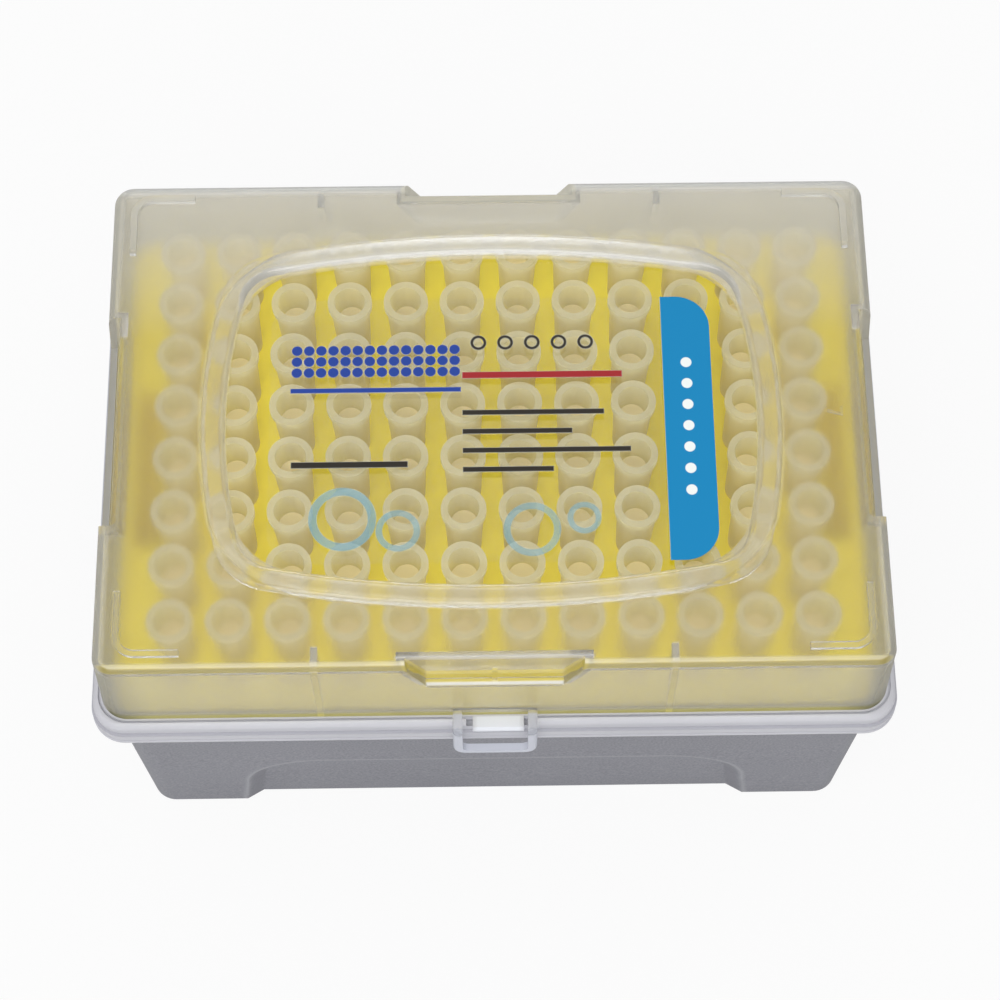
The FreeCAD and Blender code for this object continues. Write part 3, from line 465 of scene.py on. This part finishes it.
# painted highlight: a thin bright line on the front edge
front_edge_painted_highlight = short_of(frosted.y, FRONT_EDGE - 0.2, 6.0) * past(frosted.z, LID_TOP - 0.2, 9.0)
print("milky walls and edges marked")

# %% [markdown]
# ## Notches, gussets and ribs
#
# Next come the finger notches, the gussets inside the wall, the foot of the bead, and the
# ribs that locate the next box on top. A notch is a trapezoid that widens upwards.

# %% Milky notches, gussets and ribs
NOTCH_X, NOTCH_FLOOR, NOTCH_SLOPE = 10.4, 64.5, 0.554
NOTCH_LIP_Y, NOTCH_BACK_X, REAR_NOTCH_Y = -40.6, 15.2, 37.6
GUSSET_X, GUSSET_HALF, GUSSET_Y = 27.1, 0.45, 37.3
BEAD_FOOT_X, RIB_FROM_WINDOW = 38.0, 4.2

slope_x = NOTCH_X + (frosted.z - NOTCH_FLOOR) * NOTCH_SLOPE
in_notch = short_of(far_x, slope_x + 0.4, 2.0) * past(frosted.z, NOTCH_FLOOR - 0.9, 2.0)
notch = in_notch * short_of(frosted.y, FRONT_EDGE, 3.0)
rear_notch = in_notch * past(frosted.y, REAR_NOTCH_Y, 2.0)
# the lip of the front notch, where painted light goes
notch_lip = short_of(far_x, NOTCH_X + 0.2, 4.0) * short_of(frosted.y, NOTCH_LIP_Y, 4.0)
notch_lip = notch_lip * short_of(frosted.z, NOTCH_FLOOR + 0.5, 4.0)
notch_lip = notch_lip * past(frosted.z, NOTCH_FLOOR - 0.5, 4.0)
notch_back = short_of(far_x, NOTCH_BACK_X, 2.0) * line_at(frosted.y, FRONT_EDGE + 0.3, 2.2)
notch_back = notch_back * past(frosted.z, LID_TOP - 1.5, 2.0)

gusset = (1.0 - (abs(far_x - GUSSET_X) - GUSSET_HALF) * 6.0).clip()
gusset = gusset * past(far_y, GUSSET_Y, 4.0)
gusset_wall = gusset * short_of(frosted.z, LID_TOP - 0.6, 2.0) * (1.0 - rear_haze_and_painted_sheen)
gusset = gusset * (0.04 + past(frosted.z, LID_TOP - 0.1, 10.0) * 0.5)
gusset = gusset * (1.0 - rear_haze_and_painted_sheen * 0.75)

bead_foot = line_at(from_crest, BEAD_HALF - 0.1, 1.6) * top_face
bead_foot = bead_foot * past(far_x, BEAD_FOOT_X, 0.25)
stack_rib = past(frosted.z, LID_TOP + 0.04, 30.0) * (edge - RIB_FROM_WINDOW).clip()
print("milky notches, gussets and ribs marked")

# %% [markdown]
# ## Mixing the milk
#
# The milk is a matt white. Low on the wall it is painted yellow, for the light from the rack
# behind it, and at the back it takes a grey painted sheen. Each place lays its colour over the
# ones before it, and the share of milk adds up from the same masks.

# %% Colour and share of the milk
EVERYWHERE = 0.045

# painted light on the notch lip: a yellow glow, and a painted highlight on its outer edge
notch_lip_painted_light = frosted.mix(short_of(frosted.y, NOTCH_LIP_Y - 0.5, 4.0),
                         linear(232, 212, 96), linear(236, 235, 228))
# painted shade along the foot of the wall, darker in the front corners
wall_foot_shade_colour = frosted.mix(front_corner_painted_shade, linear(190, 180, 92), linear(104, 102, 66))
# painted light: yellow low on the wall, for the light from the rack behind it
milk_colour = frosted.mix(low_wall, linear(232, 230, 222), linear(214, 209, 180))
for mask, tint in (
    (wall * 0.6, linear(192, 190, 186)),
    # painted shade: dark yellow on the top front edge and in the front notch
    (top_edge_painted_shade.over(notch), linear(178, 162, 74)),
    # painted highlight on the front edge
    (front_edge_painted_highlight, linear(228, 220, 184)),
    # painted light on the notch lip
    (notch_lip, notch_lip_painted_light),
    (gusset.over(stack_rib), linear(216, 214, 208)),
    # painted sheen at the back of the lid
    (rear_haze_and_painted_sheen * 0.8, linear(214, 214, 211)),
    (rear_notch, linear(203, 200, 186)),
    (notch_back, linear(222, 222, 226)),
    # painted shade on the sides
    (flank_milk_and_painted_shade * 0.6, linear(182, 178, 160)),
    (bead_foot, linear(222, 208, 140)),
    (gusset_wall, linear(188, 181, 150)),
    # painted shade in the front corners
    (front_corner_painted_shade, linear(146, 142, 120)),
    # painted shade along the foot of the wall
    (wall_foot_painted_shade, wall_foot_shade_colour),
    (latch, linear(204, 207, 218)),
):
    milk_colour = frosted.mix(mask, milk_colour, tint)
milk = frosted.node("ShaderNodeBsdfPrincipled", None,
                    {"Base Color": milk_colour, "Roughness": 0.45})

milk_share = EVERYWHERE
for mask, share in (
    (wall, 0.08), (bead, 0.04), (low_wall, 0.10), (rear_haze_and_painted_sheen, 0.20), (flank_milk_and_painted_shade, 0.34),
    (front_corner_painted_shade, 0.20), (gusset_wall, 0.26), (rear, 0.28), (top_edge_painted_shade, 0.48),
    (notch, 0.30), (notch_lip, 0.26), (notch_back, 0.40), (rear_notch, 0.28),
    (gusset, 0.36), (bead_foot, 0.32), (stack_rib, 0.10), (wall_foot_painted_shade, 0.5), (latch, 0.08),
):
    milk_share = milk_share + mask * share
frosted_body = frosted.blend(milk_share.clip(), frosted.plain(), milk)
print("milk mixed")

# %% [markdown]
# ## The pane and the shadow rays
#
# The pane of the window is flat and the label lies right on it, so it isn't refracted: it
# is seen straight through, with a small share of gloss, from any side. The outer face and
# the back of the label touch, and a ray may meet either one first, so the outer face does
# nothing to the ray and the inner face does the work of both.
#
# Shadow rays pass straight through the whole lid with a little loss, as light would spread
# through the thin wall, and that keeps the inside of the box evenly lit.

# %% Clear pane
PANE_GLOSS = 0.085

inner_face = short_of(frosted.z, LID_TOP - 0.7, 4.0)
tinted = frosted.node("ShaderNodeBsdfRefraction", None,
                      {"Color": (0.95, 0.95, 0.925, 1.0), "Roughness": 0.0, "IOR": 1.0})
gloss = frosted.node("ShaderNodeBsdfGlossy", None, {"Color": PURE_WHITE, "Roughness": 0.05})
pane = frosted.blend(inner_face, frosted.see_through(PURE_WHITE),
                     frosted.blend(PANE_GLOSS, tinted, gloss))
lid_body = frosted.blend(clear, frosted_body, pane)
veil = frosted.see_through((0.97, 0.97, 0.965, 1.0))
frosted.surface(frosted.blend(frosted.ray("Is Shadow Ray"), lid_body, veil))
dress(nodes["lid"], frosted)
print("lid finished")

# %% [markdown]
# ## The print on the label
#
# The label is a clear film. The print is laid out as simple shapes in millimetres on the
# film: a blue field along the right, dots and rules, and a pale pattern of rings. Each
# shape is a signed distance, and a distance becomes a crisp mask by dividing by the width
# of its soft edge.

# %% Shapes that can be printed
SOFT_EDGE, PRINT_MIDDLE_Y = 0.12, -2.1

film = Finish("printed_film")
film_x, film_y = film.x, film.y - PRINT_MIDDLE_Y


def inked(distance):
    """1 inside the shape, 0 outside, with a soft edge."""
    return (0.5 - distance / SOFT_EDGE).clip()


def bar(middle_x, middle_y, half_x, half_y):
    """Rectangle."""
    return inked((abs(film_x - middle_x) - half_x).over(abs(film_y - middle_y) - half_y))


def disc(middle_x, middle_y, radius):
    """Filled circle."""
    return inked(length(film_x - middle_x, film_y - middle_y) - radius)


def ring(middle_x, middle_y, outer, inner):
    """Circle with a hole."""
    return disc(middle_x, middle_y, outer) * (1.0 - disc(middle_x, middle_y, inner))


def dots(middle_x, middle_y, count_x, count_y, step, radius):
    """Grid of dots: the plane is folded into cells of one step."""
    half_x, half_y = count_x * step / 2.0, count_y * step / 2.0
    across = (film_x - (middle_x - half_x)).remainder(step) - step / 2.0
    along = (film_y - (middle_y - half_y)).remainder(step) - step / 2.0
    return bar(middle_x, middle_y, half_x, half_y) * inked(length(across, along) - radius)


print("printed shapes ready")

# %% [markdown]
# ## Laying out the print
#
# Where nothing is printed the film is almost invisible. The pale rings are a thin ink that
# lets most of the view through; the rest is opaque.

# %% Printed film
BLUE, NAVY = linear(8, 130, 184), linear(36, 66, 150)
INK, RED = linear(44, 40, 34), linear(158, 40, 44)
PALE, WHITE = linear(120, 180, 200), linear(236, 240, 238)
THIN_INK, RULE_HALF, BLUE_FROM_X = 0.38, 0.42, 26.9

rings = ring(-23.0, -15.0, 5.2, 3.9) + ring(-14.5, -17.0, 3.4, 2.4)
rings = rings + ring(6.0, -17.0, 4.4, 3.3) + ring(14.0, -15.2, 2.6, 1.7)
pale_print = rings.clip() * THIN_INK
rules = bar(6.5, 2.6, 11.0, RULE_HALF) + bar(4.0, -0.6, 8.5, RULE_HALF)
rules = rules + bar(8.5, -3.8, 13.0, RULE_HALF) + bar(2.5, -7.0, 7.0, RULE_HALF)
rules = rules + bar(-22.0, -6.0, 9.0, 0.5)
navy_print = dots(-18.0, 11.6, 14, 3, 1.9, 0.84) + bar(-18.0, 6.6, 13.3, 0.4)
red_print = bar(8.0, 9.0, 12.5, 0.55)
small_rings = dots(6.5, 14.6, 5, 1, 4.2, 1.25) * (1.0 - dots(6.5, 14.6, 5, 1, 4.2, 0.8))
blue_field = inked(BLUE_FROM_X - film_x)
white_dots = dots(30.6, 0.0, 1, 7, 3.6, 0.85)

colour = film.mix(pale_print * (1.0 / THIN_INK), WHITE, PALE)
for mask, ink in (
    (rules.clip(), INK),
    (small_rings.clip(), INK),
    (navy_print.clip(), NAVY),
    (red_print, RED),
    (blue_field, BLUE),
    (white_dots * blue_field, WHITE),
):
    colour = film.mix(mask, colour, ink)
full_ink = (rules + small_rings + navy_print + red_print).clip()
solid = (pale_print + full_ink + blue_field).clip()
film.feed(
    Base_Color=colour,
    Alpha=solid * 0.98 + 0.02,
    Roughness=0.26 + solid * 0.08,
    Specular_IOR_Level=0.3,
)
dress(nodes["label_film"], film)
print("label finished")

# %% [markdown]
# ## The floor
#
# The box stands on a wide sheet of pale paper. What the camera sees of the paper is lifted
# almost to white through Light Path, which leaves the light on the object alone and keeps a
# trace of its shadow.

# %% Floor
FLOOR_HALF, FLOOR_Z, CELLS = 8.0, -0.0002, 8
LIFT = 0.90

marks = np.linspace(-FLOOR_HALF, FLOOR_HALF, CELLS + 1)
grid_x, grid_y = np.meshgrid(marks, marks)
points = np.stack([grid_x.ravel(), grid_y.ravel(), np.full(grid_x.size, FLOOR_Z)], axis=1)
rows, columns = np.meshgrid(np.arange(CELLS), np.arange(CELLS), indexing="ij")
corner = (rows * (CELLS + 1) + columns).ravel()
faces = np.stack([corner, corner + 1, corner + CELLS + 2, corner + CELLS + 1], axis=1)
paper_mesh = bpy.data.meshes.new("paper_floor")
paper_mesh.from_pydata(points.tolist(), [], faces.tolist())
paper = bpy.data.objects.new("paper_floor", paper_mesh)
bpy.context.scene.collection.objects.link(paper)

sheet = Finish("pale_paper")
fibre = sheet.cloud(900.0, 0.0)
sheet.feed(
    Base_Color=sheet.mix(fibre, linear(214, 214, 214), linear(220, 220, 220)),
    Roughness=0.9,
    Specular_IOR_Level=0.2,
)
glow = sheet.node("ShaderNodeEmission", None, {"Color": PURE_WHITE, "Strength": 1.0})
seen = sheet.ray("Is Camera Ray").over(sheet.ray("Is Transmission Ray"))
sheet.surface(sheet.blend(seen * LIFT, sheet.plain(), glow))
paper_mesh.materials.append(sheet.material)
print("floor laid with", len(faces), "cells")

# %% [markdown]
# ## The lamps
#
# The lamps are wide and soft. The top lamp stands in front of the box, so the window
# doesn't mirror it, and a small bluish lamp low at the rear draws the light lines on the
# bead.


# %% Lamps and sky
SKY_STRENGTH = 0.64


def soft_lamp(name, place, aim_z, size, watts, tint=(1.0, 1.0, 1.0)):
    """Round lamp aimed at a height above the middle of the box."""
    lamp = bpy.data.lights.new(name, "AREA")
    lamp.shape = "DISK"
    lamp.size = size
    lamp.energy = watts
    lamp.color = tint
    holder = bpy.data.objects.new(name, lamp)
    holder.location = place
    aim = Vector((0.0, 0.0, aim_z)) - Vector(place)
    holder.rotation_euler = aim.to_track_quat("-Z", "Y").to_euler()
    bpy.context.scene.collection.objects.link(holder)


soft_lamp("top_lamp", (-0.12, -0.55, 1.0), 0.05, 0.8, 5.6)
soft_lamp("left_lamp", (-0.9, -0.2, 0.8), 0.05, 0.6, 1.0)
soft_lamp("front_lamp", (0.1, -1.0, 0.35), 0.04, 0.7, 1.0)
soft_lamp("rear_lamp", (0.0, 1.0, 0.42), 0.05, 0.32, 1.5, (0.90, 0.94, 1.0))
world = bpy.data.worlds.new("studio")
bpy.context.scene.world = world
world.use_nodes = True
sky = world.node_tree.nodes["Background"]
sky.inputs["Color"].default_value = PURE_WHITE
sky.inputs["Strength"].default_value = SKY_STRENGTH
print("lamps placed:", len(bpy.data.lights))

# %% [markdown]
# ## The camera
#
# The camera looks down on the front of the box from close by, with a long lens. It is tilted
# first, then turned a little to one side and rolled a little.

# %% Camera
SENSOR_MM, LENS_MM, NEAR_M = 36.0, 88.4, 0.01
CAMERA_PLACE = (-0.00135, -0.1566, 0.4191)
LOOK_DOWN, TURN, ROLL = (math.radians(angle) for angle in (90.0 - 67.75, -1.0, 0.23))

lens = bpy.data.cameras.new("camera")
lens.sensor_width = SENSOR_MM
lens.lens = LENS_MM
lens.clip_start = NEAR_M
camera = bpy.data.objects.new("camera", lens)
facing = Matrix.Rotation(TURN, 4, "Z") @ Matrix.Rotation(LOOK_DOWN, 4, "X")
facing = facing @ Matrix.Rotation(ROLL, 4, "Z")
camera.matrix_world = Matrix.Translation(CAMERA_PLACE) @ facing
bpy.context.scene.collection.objects.link(camera)
bpy.context.scene.camera = camera
bpy.context.scene.view_settings.view_transform = "Standard"
print("camera set")
